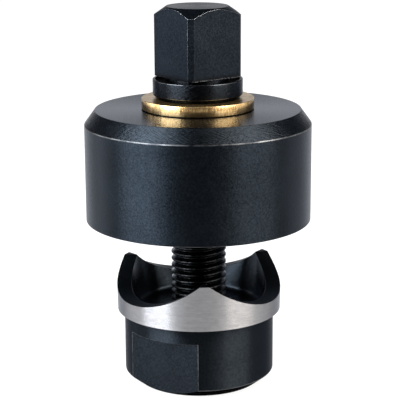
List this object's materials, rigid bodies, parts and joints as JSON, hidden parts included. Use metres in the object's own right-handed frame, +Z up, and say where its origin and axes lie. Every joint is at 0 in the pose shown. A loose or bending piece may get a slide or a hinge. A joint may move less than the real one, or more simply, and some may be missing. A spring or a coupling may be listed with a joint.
{
  "type": "screw-operated round hole punch",
  "caption": "Round sheet-metal hole punch: a three-pointed cup punch drawn into a thick ring die by a square-headed bolt on a brass washer.",
  "frame": {"origin": "centre of the punch's base, which the tool stands on", "axes": "+Z up along the bolt's axis, from the punch's base to the drive square; -Y is the front, the side that the picture shows; +X is its right"},
  "size_m": [0.0406, 0.0406, 0.0683],
  "materials": {
    "oxide_steel": "turned steel with a blue-black oxide finish, satin",
    "brass": "turned brass, satin"
  },
  "bodies": {
    "punch": {"punch": "oxide_steel"},
    "die": {"die": "oxide_steel"},
    "washer": {"thrust_washer": "brass"},
    "bolt": {"drive_bolt": "oxide_steel"}
  },
  "joints": [
    {"name": "die_travel", "type": "slide", "parent": "punch", "child": "die", "axis": [0, 0, 1], "range_m": [-0.0225, 0.00875]},
    {"name": "bolt_turn", "type": "hinge", "parent": "die", "child": "bolt", "pos_m": [0, 0, 0.0521], "axis": [0, 0, 1], "range_deg": [-6481, 2521]},
    {"name": "washer_turn", "type": "hinge", "parent": "die", "child": "washer", "pos_m": [0, 0, 0.0501], "axis": [0, 0, 1], "continuous": true}
  ],
  "couplings": [
    {"joint": "bolt_turn", "follows": "die_travel", "rad_per_m": 5026.5}
  ]
}
